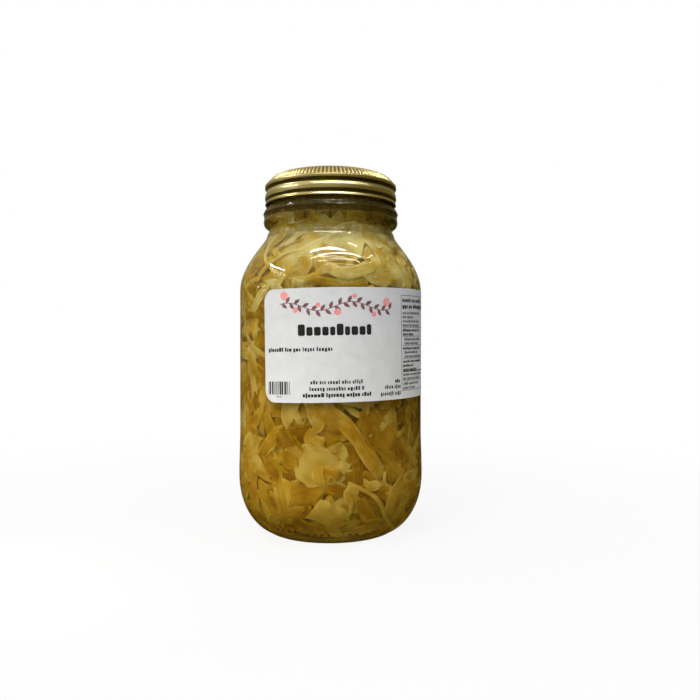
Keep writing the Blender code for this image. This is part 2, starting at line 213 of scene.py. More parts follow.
def tint(tree, value, stops):
    """Colours a value from 0 to 1 by (place, colour) stops."""
    ramp = add_node(tree, "ShaderNodeValToRGB", Fac=value)
    while len(ramp.color_ramp.elements) < len(stops):
        ramp.color_ramp.elements.new(0.5)
    for element, (position, colour) in zip(ramp.color_ramp.elements, stops):
        element.position = position
        element.color = (*colour, 1.0)
    return ramp.outputs["Color"]


def own_place(tree):
    """Where a point lies on the piece itself."""
    return tree.nodes.new("ShaderNodeTexCoord").outputs["Object"]


def grain(tree, scale, detail=3.0, rough=0.5, stretch=(1.0, 1.0, 1.0)):
    """Uneven noise fixed to the piece, finer where scale is larger."""
    lie = add_node(tree, "ShaderNodeMapping", Scale=stretch, Vector=own_place(tree)).outputs["Vector"]
    noise = add_node(tree, "ShaderNodeTexNoise", Scale=scale, Detail=detail, Roughness=rough, Vector=lie)
    return noise.outputs["Fac"]


def relief(tree, shader, height, strength, distance):
    """Fine relief under the gloss."""
    bump = add_node(tree, "ShaderNodeBump", Strength=strength, Distance=distance, Height=height)
    set_sockets(tree, shader, Normal=bump.outputs["Normal"])


def blend_shaders(tree, share, first, second):
    """Mixes two shaders; share is how much of the second shows."""
    mix = tree.nodes.new("ShaderNodeMixShader")
    for socket, value in zip(mix.inputs, (share, first, second)):
        feed(tree, socket, value)
    return mix.outputs["Shader"]


def let_lamps_through(tree, shader, tone):
    """Clear pieces cast no hard shadow on what is inside them."""
    path = tree.nodes.new("ShaderNodeLightPath")
    clear = add_node(tree, "ShaderNodeBsdfTransparent", Color=(*tone, 1.0))
    return blend_shaders(tree, path.outputs["Is Shadow Ray"], shader.outputs["BSDF"], clear.outputs["BSDF"])


def cover(tree, surface):
    """Makes a shader the one that covers the piece."""
    tree.links.new(surface, tree.nodes["Material Output"].inputs["Surface"])


def clear_jar_glass():
    """Clear glass with the slight waves of a blown jar."""
    finish, tree, shader = start_finish("clear_jar_glass", Roughness=0.0, Transmission_Weight=1.0, IOR=1.5)
    set_sockets(tree, shader, Base_Color=(0.96, 0.97, 0.93, 1.0))
    relief(tree, shader, grain(tree, 55.0, 1.0), 0.12, 0.002)
    cover(tree, let_lamps_through(tree, shader, (0.98, 0.98, 0.96)))
    return finish


floor_line = [(0.0, 0.0065), (0.010, 0.0063), (0.020, 0.0057)]
inner_wall = floor_line + hollow_wall()
glass_line = glass_outside() + [(0.0316, jar_rim_height), (0.0308, jar_rim_height - 0.0003)]
glass_line += [(0.0306, jar_rim_height - 0.0010)] + inner_wall[::-1]
jar_mesh = turned_mesh("jar_glass", glass_line, glass_segments)
place("jar_glass", jar_mesh, clear_jar_glass(), "clear_glass", "glass_jar")


# Brine.
# The cloudy, pale gold juice that the cabbage stands in. It fills the glass wall to wall, from the floor
# to just under the lid, so it reaches a hair into the glass and leaves no air between them.
brine_level = 0.1800
wall_overlap = 0.0002
brine_cloud = (0.03, 0.08)
brine_segments = 160


def golden_brine():
    """Clear gold juice, with a little pale cloud that dulls what lies behind it."""
    finish, tree, shader = start_finish("golden_brine", Roughness=0.0, Transmission_Weight=1.0, IOR=1.34)
    set_sockets(tree, shader, Base_Color=(0.98, 0.89, 0.48, 1.0))
    clear = let_lamps_through(tree, shader, (0.99, 0.93, 0.66))
    cloud = add_node(tree, "ShaderNodeBsdfDiffuse", Color=(0.70, 0.47, 0.05, 1.0))
    patches = spread(tree, grain(tree, 45.0, 2.0, 0.5), 0.35, 0.65, *brine_cloud)
    cover(tree, blend_shaders(tree, patches, clear, cloud.outputs["BSDF"]))
    return finish


def brine_outline():
    """The inner wall moved outwards by the overlap, and shut by a level top."""
    line = np.array(inner_wall, float)
    run = np.gradient(line, axis=0)
    out = np.stack([run[:, 1], -run[:, 0]], axis=-1)
    out /= np.linalg.norm(out, axis=1)[:, None]
    line = line + wall_overlap * out
    line[:, 0] = np.maximum(line[:, 0], 0.0)
    line = [tuple(point) for point in line if point[1] < brine_level - 0.0005]
    line[0] = (0.0, line[0][1])
    return line + [(line[-1][0], brine_level), (0.0, brine_level)]


brine_mesh = turned_mesh("brine", brine_outline(), brine_segments)
place("brine", brine_mesh, golden_brine(), "cabbage", "sauerkraut")


# Cabbage: the packed middle.
# Thousands of strips pressed into one mass, seen only as lumps and dark gold gaps behind the strips at
# the glass; its dark gold is painted shade. It is one closed lumpy body, a few millimetres in from the wall.
cabbage_top = 0.1850
middle_depth = 0.0058
middle_least_depth = 0.0035
middle_lumps, lump_reach = 26, 0.012
middle_across, middle_up = 180, 150
wall_line = np.array(hollow_wall() + [(0.0306, 0.1900)], float)
wall_runs = np.concatenate([[0.0], np.cumsum(np.hypot(*np.diff(wall_line, axis=0).T))])
wall_length = wall_runs[-1]
wall_slopes = np.gradient(wall_line, wall_runs, axis=0)
wall_slopes /= np.linalg.norm(wall_slopes, axis=1)[:, None]
# Painted light by height, multiplied into the cabbage's colour: painted shade in the foot, darker and warmer
# low down, lighter over the shoulder, and the lid's painted shadow in the neck.
height_shade_top = 0.170
height_shade_stops = [(0.0375, (0.20, 0.17, 0.05)), (0.0415, (0.78, 0.64, 0.27)), (0.075, (0.70, 0.57, 0.17))]
height_shade_stops += [(0.108, (0.80, 0.66, 0.24)), (0.150, (1.02, 0.87, 0.44)), (0.29, (1.02, 0.87, 0.46))]
height_shade_stops += [(0.56, (0.98, 0.90, 0.68)), (0.88, (0.92, 0.96, 0.98)), (0.93, (0.72, 0.78, 0.86))]
height_shade_stops += [(0.965, (0.57, 0.60, 0.57)), (1.0, (0.40, 0.37, 0.26))]


def by_the_wall(turn, climb, depth):
    """Points inside the jar: turn round it, climb along its inner wall, and depth in from the glass."""
    climb = np.clip(climb, 0.0, wall_length)
    radius = np.interp(climb, wall_runs, wall_line[:, 0])
    height = np.interp(climb, wall_runs, wall_line[:, 1])
    slope_r = np.interp(climb, wall_runs, wall_slopes[:, 0])
    slope_z = np.interp(climb, wall_runs, wall_slopes[:, 1])
    inner = np.maximum(radius - depth * slope_z, 0.004)
    return np.stack([inner * np.sin(turn), -inner * np.cos(turn), height + depth * slope_r], axis=-1)


def packed_middle():
    """The middle's body, lumpy with uneven waves, closed flat at its bottom and top."""
    rng = np.random.default_rng(4)
    turn = 2.0 * math.pi * np.arange(middle_across) / middle_across
    climb = np.linspace(0.004, np.interp(cabbage_top, wall_line[:, 1], wall_runs), middle_up)
    turns, climbs = np.meshgrid(turn, climb)
    lumps = np.zeros_like(turns)
    for _ in range(middle_lumps):
        laps = int(rng.integers(5, 34))
        pitch = rng.uniform(40.0, 240.0)
        shift = rng.uniform(0.0, 6.28)
        size = rng.uniform(0.4, 1.0)
        lumps += size * np.sin(laps * turns + pitch * climbs + shift) / middle_lumps
        lumps += size * np.sin(laps * turns - 1.3 * pitch * climbs + 2.0 * shift) / middle_lumps
    depth = np.maximum(middle_depth + lump_reach * lumps, middle_least_depth)
    verts = by_the_wall(turns, climbs, depth).reshape(-1, 3)
    faces = ring_faces(middle_up, middle_across).tolist()
    faces.append(list(range(middle_across))[::-1])
    faces.append([(middle_up - 1) * middle_across + k for k in range(middle_across)])
    return new_mesh("cabbage_middle", verts, faces)


def painted(tree, name):
    """A value that is painted on the piece's points."""
    node = tree.nodes.new("ShaderNodeAttribute")
    node.attribute_name = name
    return node


def combine(tree, operation, first, second):
    """Adds, multiplies or compares two values."""
    node = tree.nodes.new("ShaderNodeMath")
    node.operation = operation
    for socket, value in zip(node.inputs, (first, second)):
        feed(tree, socket, value)
    return node.outputs["Value"]


def mix_colours(tree, way, share, first, second):
    """Mixes two colours, or multiplies the first by the second."""
    mix = tree.nodes.new("ShaderNodeMix")
    mix.data_type = "RGBA"
    mix.blend_type = way
    feed(tree, mix.inputs["Factor"], share)
    feed(tree, mix.inputs[6], first)
    feed(tree, mix.inputs[7], second)
    return mix.outputs[2]


def painted_height_shade(tree, colour):
    """Multiplies a colour by painted light by height: painted shade in the foot, darker and warmer towards
    the bottom, lighter over the shoulder, and the lid's painted shadow in the neck.
    """
    parts = add_node(tree, "ShaderNodeSeparateXYZ", Vector=own_place(tree))
    low_to_high = spread(tree, parts.outputs["Z"], 0.0, height_shade_top, 0.0, 1.0)
    return mix_colours(tree, "MULTIPLY", 1.0, colour, tint(tree, low_to_high, height_shade_stops))


def cabbage_finish(name, deep, mid, pale, clearness):
    """Pickled cabbage: half clear, with fibres along it, painted paler at the glass and darker deeper in as
    painted shade, with a painted highlight along its cut edges and painted light by height.
    """
    finish, tree, shader = start_finish(name, Roughness=0.42, Specular_IOR_Level=0.10)
    set_sockets(tree, shader, Subsurface_Weight=0.20, Subsurface_Scale=0.0012)
    set_sockets(tree, shader, Subsurface_Radius=(1.0, 0.62, 0.22))
    flecks = spread(tree, grain(tree, 260.0, 4.0, 0.6), 0.3, 0.7, -0.10, 0.10)
    cloud = grain(tree, 75.0, 2.0, 0.5)
    along = painted(tree, "fibre").outputs["Vector"]
    lie = add_node(tree, "ShaderNodeMapping", Scale=(110.0, 1300.0, 1.0), Vector=along).outputs["Vector"]
    fibres = add_node(tree, "ShaderNodeTexNoise", Scale=1.0, Detail=3.0, Roughness=0.55, Vector=lie)
    fibres = fibres.outputs["Fac"]
    shade = combine(tree, "ADD", painted(tree, "shade_and_tone").outputs["Fac"], flecks)
    shade = combine(tree, "ADD", shade, spread(tree, cloud, 0.3, 0.7, -0.24, 0.24))
    shade = combine(tree, "ADD", shade, spread(tree, fibres, 0.3, 0.7, -0.17, 0.17))
    colour = painted_height_shade(tree, tint(tree, shade, [(0.0, deep), (0.5, mid), (1.0, pale)]))
    set_sockets(tree, shader, Base_Color=colour)
    relief(tree, shader, fibres, 0.35, 0.0004)
    path = tree.nodes.new("ShaderNodeLightPath")
    see_through = spread(tree, cloud, 0.3, 0.7, clearness * 1.5, clearness * 0.5)
    firm_edge = spread(tree, painted(tree, "cut_edge").outputs["Fac"], 0.0, 1.0, 1.0, 0.35)
    see_through = combine(tree, "MULTIPLY", see_through, firm_edge)
    lit_through = spread(tree, path.outputs["Is Shadow Ray"], 0.0, 1.0, 0.0, 0.12)
    through = combine(tree, "ADD", see_through, lit_through)
    clear = add_node(tree, "ShaderNodeBsdfTransparent", Color=(0.98, 0.90, 0.62, 1.0))
    cover(tree, blend_shaders(tree, through, shader.outputs["BSDF"], clear.outputs["BSDF"]))
    return finish


def paint(mesh, name, values):
    """Paints a value on each point of a mesh."""
    layer = mesh.attributes.new(name, "FLOAT", "POINT")
    layer.data.foreach_set("value", np.asarray(values, np.float32))


def packed_finish():
    """Dull gold and lumpy, painted darker than the strips as the shade deep in the pack, and painted brown
    where the lid keeps the light off.
    """
    finish, tree, shader = start_finish("cabbage_middle", Roughness=0.6, Specular_IOR_Level=0.10)
    cloud = spread(tree, grain(tree, 110.0, 3.0, 0.6), 0.3, 0.7, -0.22, 0.22)
    shade = combine(tree, "ADD", painted(tree, "shade_and_tone").outputs["Fac"], cloud)
    stops = [(0.0, (0.05, 0.022, 0.002)), (0.35, (0.26, 0.13, 0.006))]
    stops += [(0.7, (0.52, 0.32, 0.030)), (1.0, (0.70, 0.50, 0.10))]
    set_sockets(tree, shader, Base_Color=painted_height_shade(tree, tint(tree, shade, stops)))
    relief(tree, shader, grain(tree, 300.0, 4.0, 0.6), 0.5, 0.0008)
    return finish


middle_mesh = packed_middle()
middle_heights = [vert.co.z for vert in middle_mesh.vertices]
# Painted light by height on the middle: lighter up to the shoulder, the lid's painted shadow in the neck.
middle_height_shade = np.interp(middle_heights, (0.020, 0.150, 0.163, 0.170), (0.36, 0.56, 0.34, -0.10))
paint(middle_mesh, "shade_and_tone", middle_height_shade)
place("cabbage_middle", middle_mesh, packed_finish(), "cabbage", "sauerkraut")


# Cabbage: the strips at the glass.
# White cabbage cut into soft, wet strips, ribs and scraps of leaf, pressed flat against the glass and
# lying over each other every way. Each kind is one joined mesh of closed, flat strips.
press_gap = 0.0002
# How far in from the glass the strips' painted shade reaches.
shade_depth = 0.0068
# Painted light by height on the strips: lighter over the shoulder, the lid's painted shadow in the neck.
strip_lift = ((0.020, 0.100, 0.150, 0.160, 0.172), (0.02, 0.0, 0.12, 0.04, -0.24))
strips_top, leaves_bottom, leaves_top, strips_reach = np.interp(
    (0.1660, 0.1575, 0.1715, 0.1708), wall_line[:, 1], wall_runs
)


def two_waves(rng, along, low, high):
    """A slow uneven wave along a strip, from about -1 to 1."""
    first = np.sin(along * rng.uniform(low, high) + rng.uniform(0.0, 6.28))
    second = np.sin(along * rng.uniform(low, high) * 2.1 + rng.uniform(0.0, 6.28))
    return 0.7 * first + 0.3 * second


def strip(rng, kind, rows, lanes):
    """One closed strip laid by the wall: its points, their painted shade, highlight and tone, its edges, and
    its fibres' lie.
    """
    along = np.linspace(0.0, 1.0, rows)
    length = rng.uniform(*kind["length"])
    width = rng.uniform(*kind["width"])
    thick = rng.uniform(*kind["thick"])
    heading = rng.normal(0.0, kind["turned"]) if "turned" in kind else rng.uniform(0.0, 2.0 * math.pi)
    course = heading + rng.normal(0.0, kind["bend"]) * (along - 0.5)
    course = course + kind["swerve"] * two_waves(rng, along, 2.0, 6.0)
    step = length / (rows - 1)
    sideways = np.concatenate([[0.0], np.cumsum(step * np.cos(course[:-1]))])
    climb = np.concatenate([[0.0], np.cumsum(step * np.sin(course[:-1]))])
    sideways -= sideways.mean()
    middle_turn = rng.uniform(0.0, 2.0 * math.pi)
    climb += rng.uniform(*kind["climb"]) - climb.mean()
    start_width, end_width = rng.choice(kind["ends"], 2)
    near_start = np.clip(1.0 - along / kind["taper"], 0.0, 1.0) ** 1.5
    near_end = np.clip(1.0 - (1.0 - along) / kind["taper"], 0.0, 1.0) ** 1.5
    body_width = 1.0 - (1.0 - start_width) * near_start - (1.0 - end_width) * near_end
    left = 0.5 * width * body_width * (1.0 + kind["ragged"] * two_waves(rng, along, 4.0, 14.0))
    right = 0.5 * width * body_width * (1.0 + kind["ragged"] * two_waves(rng, along, 4.0, 14.0))
    faces_out = len(lanes)
    lane = np.array(list(lanes) + list(lanes[::-1][1:-1]))
    side = np.array([-1.0] * faces_out + [1.0] * (faces_out - 2))
    flat = np.sqrt(np.maximum(1.0 - np.abs(lane) ** 4.0, 0.0))
    offset = np.where(lane[None, :] < 0.0, left[:, None], right[:, None]) * lane[None, :]
    cut = rng.uniform(-0.9, 0.9, 2)
    slide = offset * (cut[0] * (1.0 - along[:, None]) ** 8 + cut[1] * along[:, None] ** 8)
    dip = rng.uniform(*kind["depth"]) + kind["sway"] * two_waves(rng, along, 2.0, 6.0)
    dive = kind["dive"] * rng.uniform(0.0, 1.0, 2) ** 2
    dip = dip + dive[0] * (1.0 - along) ** 3 + dive[1] * along**3
    tilt = kind["tilt"] * two_waves(rng, along, 1.5, 5.0)
    curl = rng.normal(0.0, kind["curl"])
    ruffle = kind["ruffle"] * two_waves(rng, along, 8.0, 22.0)
    depths = dip[:, None] + 0.5 * thick * side[None, :] * flat[None, :]
    depths = depths + tilt[:, None] * offset + curl * offset**2 / width + ruffle[:, None] * lane[None, :]
    folds = rng.uniform(250.0, 420.0) * length * along[:, None]
    folds = np.sin(folds + rng.uniform(250.0, 600.0) * offset + rng.uniform(0.0, 6.28))
    depths = depths + kind["crumple"] * folds * two_waves(rng, along, 5.0, 11.0)[:, None]
    pressed = press_gap * (1.0 + np.exp(np.minimum(depths - 2.0 * press_gap, 0.0) / press_gap))
    depths = np.where(depths < 2.0 * press_gap, pressed, depths)
    climbs = climb[:, None] + slide * np.sin(course)[:, None] + offset * np.cos(course)[:, None]
    climbs = climbs - max(0.0, climbs.max() - strips_reach + rng.uniform(0.0, 0.003))
    across = sideways[:, None] + slide * np.cos(course)[:, None] - offset * np.sin(course)[:, None]
    turns = middle_turn + across / np.interp(climbs, wall_runs, wall_line[:, 0])
    points = by_the_wall(turns, climbs, depths)
    # Painted shade: darker the deeper a point lies from the glass, on top of each strip's own random tone.
    nearness = np.clip(1.0 - depths / shade_depth, 0.0, 1.0)
    # Painted highlight: the cut edges are made paler, as if catching the light.
    edge = np.abs(lane)[None, :] ** 12 + 0.0 * depths
    # Painted light by height: lighter over the shoulder, painted shadow of the lid in the neck.
    lift = np.interp(points[..., 2], *strip_lift)
    shade_and_tone = 0.02 + 0.58 * nearness + 0.38 * edge + lift + rng.normal(0.0, kind["varied"])
    run = length * along[:, None] + 0.0 * offset
    lie = np.stack([run, offset, rng.uniform(0.0, 90.0) + 0.0 * offset], axis=-1)
    return points, np.clip(shade_and_tone, 0.0, 1.0), edge, lie


def strips_mesh(name, seed, count, rows, lanes, kind):
    """Many strips of one kind, joined in one mesh."""
    rng = np.random.default_rng(seed)
    ring = 2 * len(lanes) - 2
    sheet = ring_faces(rows, ring)
    start_cap = np.arange(ring)[::-1]
    end_cap = (rows - 1) * ring + np.arange(ring)
    all_points, all_shade_and_tone, all_edges, all_lies, faces = [], [], [], [], []
    for index in range(count):
        points, pale, edge, lie = strip(rng, kind, rows, lanes)
        base = index * rows * ring
        all_points.append(points.reshape(-1, 3))
        all_shade_and_tone.append(pale.reshape(-1))
        all_edges.append(edge.reshape(-1))
        all_lies.append(lie.reshape(-1))
        faces += (sheet + base).tolist()
        faces.append((start_cap + base).tolist())
        faces.append((end_cap + base).tolist())
    mesh = new_mesh(name, np.concatenate(all_points), faces)
    paint(mesh, "shade_and_tone", np.concatenate(all_shade_and_tone))
    paint(mesh, "cut_edge", np.concatenate(all_edges))
    fibre = mesh.attributes.new("fibre", "FLOAT_VECTOR", "POINT")
    fibre.data.foreach_set("vector", np.concatenate(all_lies).astype(np.float32))
    return mesh


broad_strip = dict(
    length=(0.020, 0.052), width=(0.0042, 0.0088), thick=(0.0005, 0.0009), depth=(0.0003, 0.0060),
    bend=0.7, swerve=0.22, ends=(0.2, 0.6, 1.0), taper=0.30, climb=(0.0, strips_top), ragged=0.12,
    sway=0.0010, dive=0.0040, tilt=0.20, curl=0.14, ruffle=0.0002, crumple=0.0003, varied=0.27,
)
thin_strip = dict(
    length=(0.016, 0.046), width=(0.0018, 0.0036), thick=(0.0005, 0.0010), depth=(0.0003, 0.0055),
    bend=1.5, swerve=0.40, ends=(0.2, 0.7, 1.0), taper=0.25, climb=(0.0, strips_top), ragged=0.10,
    sway=0.0012, dive=0.0040, tilt=0.35, curl=0.10, ruffle=0.0001, crumple=0.0001, varied=0.27,
)
leaf_scrap = dict(
    length=(0.016, 0.038), width=(0.0100, 0.0210), thick=(0.0004, 0.0006), depth=(0.0004, 0.0055),
    bend=0.5, swerve=0.18, ends=(0.3, 0.6, 0.9), taper=0.45, climb=(0.0, strips_top), ragged=0.20,
    sway=0.0011, dive=0.0030, tilt=0.09, curl=0.10, ruffle=0.0006, crumple=0.0007, varied=0.25,
)
top_leaf = dict(leaf_scrap, length=(0.012, 0.026), width=(0.0070, 0.0130), turned=0.5)
top_leaf["climb"] = (leaves_bottom, leaves_top)
rib_chunk = dict(
    length=(0.010, 0.028), width=(0.0050, 0.0095), thick=(0.0018, 0.0030), depth=(0.0014, 0.0050),
    bend=0.4, swerve=0.10, ends=(0.5, 0.8, 1.0), taper=0.25, climb=(0.0, strips_top), ragged=0.10,
    sway=0.0006, dive=0.0020, tilt=0.12, curl=0.10, ruffle=0.0001, crumple=0.0002, varied=0.10,
)
green_shred = dict(
    length=(0.008, 0.022), width=(0.0022, 0.0060), thick=(0.0004, 0.0007), depth=(0.0004, 0.0030),
    bend=0.5, swerve=0.15, ends=(0.2, 0.6, 1.0), taper=0.35, climb=(0.0, strips_top), ragged=0.12,
    sway=0.0008, dive=0.0020, tilt=0.15, curl=0.10, ruffle=0.0002, crumple=0.0002, varied=0.10,
)
short_scrap = dict(
    length=(0.007, 0.017), width=(0.0030, 0.0075), thick=(0.0004, 0.0008), depth=(0.0002, 0.0026),
    bend=0.9, swerve=0.20, ends=(0.3, 0.7, 1.0), taper=0.35, climb=(0.0, strips_top), ragged=0.16,
    sway=0.0008, dive=0.0026, tilt=0.18, curl=0.16, ruffle=0.0003, crumple=0.0003, varied=0.26,
)
strip_lanes = (-1.0, -0.94, -0.5, 0.5, 0.94, 1.0)
thin_lanes = (-1.0, -0.85, 0.85, 1.0)
leaf_lanes = (-1.0, -0.96, -0.7, -0.4, -0.1, 0.2, 0.5, 0.75, 0.96, 1.0)
for piece_name, seed, count, rows, lanes, kind, tones, clearness in (
    ("cabbage_leaf_scraps", 23, 270, 20, leaf_lanes, leaf_scrap,
     ((0.30, 0.145, 0.001), (0.70, 0.475, 0.070), (0.94, 0.86, 0.66)), 0.36),
    # The top leaves' tones are darker and duller: painted shade for the lid's shadow in the neck.
    ("cabbage_top_leaves", 26, 60, 14, leaf_lanes, top_leaf,
     ((0.30, 0.16, 0.001), (0.52, 0.40, 0.12), (0.74, 0.68, 0.52)), 0.30),
    ("cabbage_broad_strips", 21, 540, 17, strip_lanes, broad_strip,
     ((0.32, 0.155, 0.001), (0.71, 0.475, 0.066), (0.94, 0.85, 0.64)), 0.24),
    ("cabbage_short_scraps", 27, 300, 12, strip_lanes, short_scrap,
     ((0.30, 0.145, 0.001), (0.70, 0.475, 0.070), (0.94, 0.86, 0.66)), 0.34),
    ("cabbage_thin_strips", 22, 300, 20, thin_lanes, thin_strip,
     ((0.32, 0.155, 0.001), (0.72, 0.495, 0.075), (0.94, 0.86, 0.66)), 0.18),
    ("cabbage_rib_chunks", 24, 120, 14, strip_lanes, rib_chunk,
     ((0.48, 0.28, 0.010), (0.78, 0.58, 0.16), (0.92, 0.85, 0.66)), 0.08),
    ("cabbage_green_shreds", 25, 46, 14, strip_lanes, green_shred,
     ((0.26, 0.17, 0.002), (0.52, 0.40, 0.006), (0.66, 0.55, 0.04)), 0.20),
):
    strips = strips_mesh(piece_name, seed, count, rows, lanes, kind)
    place(piece_name, strips, cabbage_finish(piece_name, *tones, clearness), "cabbage", "sauerkraut")


# Air bubbles.
# A few small bubbles of the gas that the cabbage gives off as it ferments, caught flat against the inside
# of the glass. Each shows as a thin pale ring, a painted highlight for the light that its rim reflects.
bubble_rim = 0.00022
bubble_spots = ((-15.8, 0.0640, 0.00155), (-7.5, 0.0719, 0.0014), (1.7, 0.0346, 0.00165))
bubble_spots += ((-30.0, 0.0480, 0.0007), (26.0, 0.0560, 0.0006), (150.0, 0.0600, 0.0012))
bubble_spots += ((-110.0, 0.0900, 0.0010), (95.0, 0.0420, 0.0011))


def bubble_rim_glint():
    """A pale ring, a painted highlight for the bright rim that a flat bubble shows; its middle is as clear as
    the brine.
    """
    finish, tree, shader = start_finish("bubble_rim_glint", Roughness=0.25, Base_Color=(0.95, 0.78, 0.30, 1.0))
    clear = tree.nodes.new("ShaderNodeBsdfTransparent")
    cover(tree, blend_shaders(tree, 0.12, shader.outputs["BSDF"], clear.outputs["BSDF"]))
    return finish


def bubbles_mesh():
    """Thin rings that lie on the inner wall."""
    round_steps, rim_steps = 36, 8
    verts, faces = [], []
    for degrees, height, radius in bubble_spots:
        base = len(verts)
        centre = math.radians(degrees)
        for j in range(round_steps):
            spin = 2.0 * math.pi * j / round_steps
            for k in range(rim_steps):
                swell = 2.0 * math.pi * k / rim_steps
                reach = radius + bubble_rim * math.cos(swell)
                up = height + reach * math.sin(spin)
                wall = np.interp(up, wall_line[:, 1], wall_line[:, 0])
                depth = bubble_rim * (1.0 - 0.9 * math.sin(swell))
                turn = centre + reach * math.cos(spin) / wall
                verts.append(((wall - depth) * math.sin(turn), (depth - wall) * math.cos(turn), up))
        for j in range(round_steps):
            here, after = base + j * rim_steps, base + (j + 1) % round_steps * rim_steps
            for k in range(rim_steps):
                beside = (k + 1) % rim_steps
                faces.append((here + k, after + k, after + beside, here + beside))
    return new_mesh("air_bubbles", verts, faces)


place("air_bubbles", bubbles_mesh(), bubble_rim_glint(), "cabbage")


# Lid.
# One piece of gold lacquered tinplate, stamped and rolled: 104 flutes round its top corner, a groove, a
# bead over the thread and a rolled edge. It is screwed down on the mouth.
lid_low, lid_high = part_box("lid")
lid_flutes = 104
steps_per_flute = 8
flute_depth = 0.00100


def below_top(*points):
    """The lid's outline points, given as radius, depth below its top, and how deep the flutes are."""
    return [(radius, lid_high.z - depth, fluted) for radius, depth, fluted in points]


def lid_outside():
    """The lid from the middle of its top down its outside: radius, height, and how deep the flutes are."""
    plan = below_top(
        (0.0, 0.0007, 0.0), (0.0120, 0.0007, 0.0), (0.0240, 0.0007, 0.0), (0.0272, 0.0006, 0.0),
        (0.0280, 0.0002, 0.0), (0.0285, 0.0, 0.0), (0.0290, 0.0, 0.1), (0.0296, 0.0001, 0.7),
        (0.0302, 0.0004, 1.0), (0.0309, 0.0007, 1.0), (0.0317, 0.0011, 1.0), (0.0324, 0.0016, 1.0),
        (0.0331, 0.0022, 1.0), (0.0337, 0.0028, 1.0), (0.0342, 0.0034, 1.0), (0.0347, 0.0040, 1.0),
        (0.0351, 0.0046, 1.0), (0.0355, 0.0049, 0.9), (0.0358, 0.0051, 0.2), (0.0359, 0.0055, 0.0),
        (0.03595, 0.0061, 0.0), (0.0360, 0.0067, 0.0), (0.0358, 0.0072, 0.0), (0.0354, 0.0077, 0.0),
        (0.0351, 0.0082, 0.0), (0.0350, 0.0086, 0.0), (0.0351, 0.0090, 0.0), (0.0354, 0.0096, 0.0),
        (0.0357, 0.0102, 0.0), (0.03585, 0.0108, 0.0), (0.03595, 0.0116, 0.0), (0.0360, 0.0124, 0.0),
        (0.0359, 0.0129, 0.0), (0.0356, 0.0134, 0.0), (0.0353, 0.0138, 0.0), (0.0352, 0.0142, 0.0),
        (0.0353, 0.0146, 0.0), (0.0356, 0.0151, 0.0),
    )
    low = lid_low.z
    plan += [(0.0359, low + 0.0004, 0.0), (0.0358, low + 0.0001, 0.0), (0.0355, low, 0.0)]
    return plan + [(0.0351, low + 0.0001, 0.0), (0.0349, low + 0.0006, 0.0)]


def lid_mesh():
    """The lid's shell: its outside with the flutes, and its plain inside."""
    inside = below_top(
        (0.0347, 0.0136, 0.0), (0.0346, 0.0078, 0.0), (0.0343, 0.0052, 0.0), (0.0335, 0.0038, 0.0),
        (0.0320, 0.0027, 0.0), (0.0290, 0.0016, 0.0), (0.0, 0.0016, 0.0),
    )
    plan = smooth_outline(lid_outside(), 2) + inside
    count = lid_flutes * steps_per_flute
    turn = 2.0 * math.pi * np.arange(count) / count
    valley = (0.5 - 0.5 * np.cos(lid_flutes * turn)) ** 1.1
    rings, hollows, ribbed = [], [], []
    for radius, height, fluted in plan[1:-1]:
        hollows.append(max(fluted, 0.0) * valley)
        ribbed.append(np.full(count, fluted))
        reach = radius - flute_depth * hollows[-1]
        rings.append(np.stack([reach * np.sin(turn), -reach * np.cos(turn), np.full(count, height)], axis=-1))
    mesh = closed_mesh("gold_lid", rings, plan[0][1], plan[-1][1], downwards=True)
    # Painted shade in the flute hollows, for the lacquer's colour.
    paint(mesh, "hollow_shade", np.concatenate(hollows + [[0.0, 0.0]]))
    paint(mesh, "ribbed", np.concatenate(ribbed + [[0.0, 0.0]]))
    return mesh


def gold_lacquer():
    """Gold lacquer over rolled tinplate, with fine drawing lines round it and painted shade in its flute
    hollows.
    """
    finish, tree, shader = start_finish("gold_lacquer", Metallic=1.0, Coat_Weight=0.25, Coat_Roughness=0.12)
    streaks = grain(tree, 26.0, 4.0, 0.65, (1.0, 1.0, 70.0))
    colour = tint(tree, streaks, [(0.3, (0.76, 0.63, 0.27)), (0.7, (0.90, 0.79, 0.42))])
    # Painted shade: the flute hollows turn brown.
    flute_shade = spread(tree, painted(tree, "hollow_shade").outputs["Fac"], 0.14, 0.72, 0.0, 0.90)
    colour = mix_colours(tree, "MIX", flute_shade, colour, (0.25, 0.155, 0.034, 1.0))
    set_sockets(tree, shader, Base_Color=colour)
    dull = spread(tree, painted(tree, "ribbed").outputs["Fac"], 0.0, 1.0, 0.0, 0.08)
    dull = combine(tree, "ADD", dull, spread(tree, streaks, 0.3, 0.7, 0.20, 0.34))
    set_sockets(tree, shader, Roughness=dull)
    relief(tree, shader, grain(tree, 50.0, 3.0, 0.6, (1.0, 1.0, 50.0)), 0.16, 0.0002)
    return finish


place("gold_lid", lid_mesh(), gold_lacquer(), "gold_lacquer", "lid")


# Paper label.
# A white coated paper label with round corners, stuck round the front and the right side of the jar by
# hand, so it sits a degree askew, its left side low.
label_height = 0.0560
label_width = 0.1200
label_centre_height = 0.1013
label_left_edge = math.radians(-40.1)
label_tilt = math.radians(1.1)
label_corner = 0.0062
label_back_radius = panel_radius + 0.00002
label_face_radius = label_back_radius + 0.00012


def on_label(along, up, radius):
    """A point on the label: along from its left edge, up from its middle."""
    across = along - 0.5 * label_width
    turned = across * math.cos(label_tilt) - up * math.sin(label_tilt)
    raised = across * math.sin(label_tilt) + up * math.cos(label_tilt)
    turn = label_left_edge + (turned + 0.5 * label_width) / panel_radius
    return radius * np.sin(turn), -radius * np.cos(turn), label_centre_height + raised


